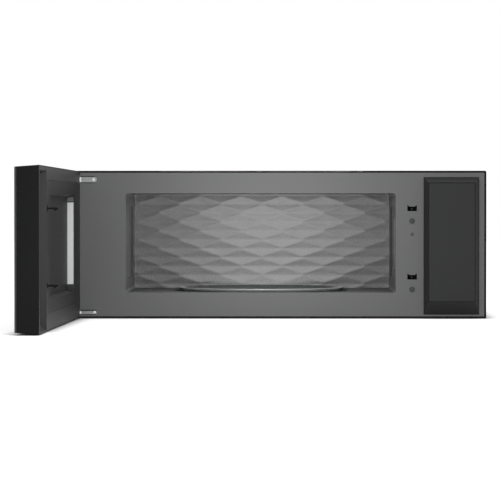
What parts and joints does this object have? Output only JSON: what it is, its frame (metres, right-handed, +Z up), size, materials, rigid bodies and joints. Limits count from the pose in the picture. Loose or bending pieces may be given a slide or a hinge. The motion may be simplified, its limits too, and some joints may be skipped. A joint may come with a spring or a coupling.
{
  "type": "over-the-range microwave",
  "caption": "Low-profile over-the-range microwave with full-width hinged door, glass turntable, vent blower, grease filters and cooktop lamps.",
  "frame": {"origin": "on the wall plane at mid width, level with the underside of the cabinet", "axes": "+X to the right seen from the front, +Y towards the wall, +Z up"},
  "size_m": [0.8047, 1.1795, 0.2755],
  "materials": {
    "wrap_paint": "satin",
    "front_paint": "satin",
    "cavity_paint": "satin grey enamel",
    "cavity_back_paint": "satin grey enamel",
    "housing_plastic": "satin",
    "black_plastic": "satin",
    "chrome": "bright",
    "galvanised": "matt",
    "aluminium": "satin",
    "board": "satin",
    "cream_plastic": "satin",
    "mica": "satin",
    "iron": "varnished",
    "dark_metal": "satin",
    "bright_liner": "polished",
    "door_glass": "tinted gloss",
    "pane": "satin gloss",
    "tray_glass": "clear",
    "lens": "ribbed",
    "cover_plastic": "satin",
    "rubber": "matt",
    "carbon": "matt",
    "brass": "plain",
    "red_plastic": "satin"
  },
  "bodies": {
    "cabinet": {"cabinet_top": "wrap_paint", "side_panels": "wrap_paint", "rear_panel": "galvanised", "base_plate": "dark_metal", "front_plate": "front_paint", "cavity_liner": "cavity_paint", "cavity_back": "cavity_back_paint", "control_housing": "housing_plastic", "control_board": "board", "latch_bracket": "cream_plastic", "interlock_switches": "black_plastic", "door_bumpers": "rubber", "upper_hinge": "chrome", "lower_hinge": "chrome", "plate_screws": "chrome", "waveguide": "galvanised", "waveguide_cover": "mica", "magnetron": "aluminium", "fan_housing": "galvanised", "fan_motor": "iron", "air_duct": "cream_plastic", "transformer": "iron", "capacitor": "aluminium", "diode": "black_plastic", "line_filter_board": "board", "thermal_cutouts": "brass", "cavity_lamp": "cream_plastic", "turntable_motor": "galvanised", "blower_housing": "galvanised", "blower_motor": "iron", "exhaust_duct": "galvanised", "charcoal_filter": "carbon", "cooktop_lamps": "cream_plastic", "cord_bushing": "rubber", "bolt_inserts": "brass"},
    "door": {"door_frame": "black_plastic", "door_glass": "door_glass", "choke_panel": "dark_metal", "choke_cover": "cover_plastic", "window_liner": "bright_liner", "inner_pane": "pane", "window_screen": "dark_metal", "hinge_bushings": "cream_plastic", "glass_stop": "rubber", "touch_board": "board", "latch_spring": "galvanised"},
    "latch": {"latch_bar": "black_plastic"},
    "turntable": {"glass_turntable": "tray_glass", "turntable_coupler": "cream_plastic"},
    "roller_carrier": {"roller_ring": "cream_plastic"},
    "roller_a": {"roller_1": "cream_plastic"},
    "roller_b": {"roller_2": "cream_plastic"},
    "roller_c": {"roller_3": "cream_plastic"},
    "cooling_fan": {"fan_blade": "cream_plastic"},
    "vent_blower": {"blower_wheels": "black_plastic"},
    "filter_left": {"grease_filter_left": "aluminium"},
    "filter_right": {"grease_filter_right": "aluminium"},
    "lamp_flap_left": {"lamp_cover_left": "lens"},
    "lamp_flap_right": {"lamp_cover_right": "lens"},
    "plungers": {"switch_plungers": "red_plastic"}
  },
  "joints": [
    {"name": "door_swing", "type": "hinge", "parent": "cabinet", "child": "door", "pos_m": [-0.3753, -0.4254, 0.1365], "axis": [0, 0, 1], "range_deg": [-9, 91]},
    {"name": "latch_lift", "type": "slide", "parent": "door", "child": "latch", "axis": [0, 0, 1], "range_m": [0, 0.0023], "stiffness_N_per_m": 600, "springref_m": -0.004, "deforming": ["latch_spring"]},
    {"name": "turntable_spin", "type": "hinge", "parent": "cabinet", "child": "turntable", "pos_m": [-0.0378, -0.25, 0.0443], "axis": [0, 0, 1], "continuous": true},
    {"name": "carrier_spin", "type": "hinge", "parent": "cabinet", "child": "roller_carrier", "pos_m": [-0.0378, -0.25, 0.039], "axis": [0, 0, 1], "continuous": true},
    {"name": "roller_a_spin", "type": "hinge", "parent": "roller_carrier", "child": "roller_a", "pos_m": [-0.0378, -0.142, 0.039], "axis": [0, 1, 0], "continuous": true},
    {"name": "roller_b_spin", "type": "hinge", "parent": "roller_carrier", "child": "roller_b", "pos_m": [-0.13133, -0.304, 0.039], "axis": [-0.866, -0.5, 0], "continuous": true},
    {"name": "roller_c_spin", "type": "hinge", "parent": "roller_carrier", "child": "roller_c", "pos_m": [0.05573, -0.304, 0.039], "axis": [0.866, -0.5, 0], "continuous": true},
    {"name": "cooling_fan_spin", "type": "hinge", "parent": "cabinet", "child": "cooling_fan", "pos_m": [0.2935, -0.052, 0.14], "axis": [0, 1, 0], "continuous": true},
    {"name": "vent_blower_spin", "type": "hinge", "parent": "cabinet", "child": "vent_blower", "pos_m": [-0.0378, -0.0405, 0.15], "axis": [1, 0, 0], "continuous": true},
    {"name": "filter_left_slide", "type": "slide", "parent": "cabinet", "child": "filter_left", "axis": [-1, 0, 0], "range_m": [0, 0.012]},
    {"name": "filter_right_slide", "type": "slide", "parent": "cabinet", "child": "filter_right", "axis": [1, 0, 0], "range_m": [0, 0.012]},
    {"name": "lamp_flap_left_swing", "type": "hinge", "parent": "cabinet", "child": "lamp_flap_left", "pos_m": [-0.2, -0.2962, 0.0025], "axis": [1, 0, 0], "range_deg": [0, 85]},
    {"name": "lamp_flap_right_swing", "type": "hinge", "parent": "cabinet", "child": "lamp_flap_right", "pos_m": [0.2, -0.2962, 0.0025], "axis": [1, 0, 0], "range_deg": [0, 85]},
    {"name": "plungers_press", "type": "slide", "parent": "cabinet", "child": "plungers", "axis": [0, 1, 0], "range_m": [0, 0.0012], "stiffness_N_per_m": 500, "springref_m": -0.001}
  ],
  "couplings": [
    {"joint": "carrier_spin", "follows": "turntable_spin", "ratio": 0.5},
    {"joint": "roller_a_spin", "follows": "turntable_spin", "ratio": -10.8},
    {"joint": "roller_b_spin", "follows": "turntable_spin", "ratio": -10.8},
    {"joint": "roller_c_spin", "follows": "turntable_spin", "ratio": -10.8}
  ]
}
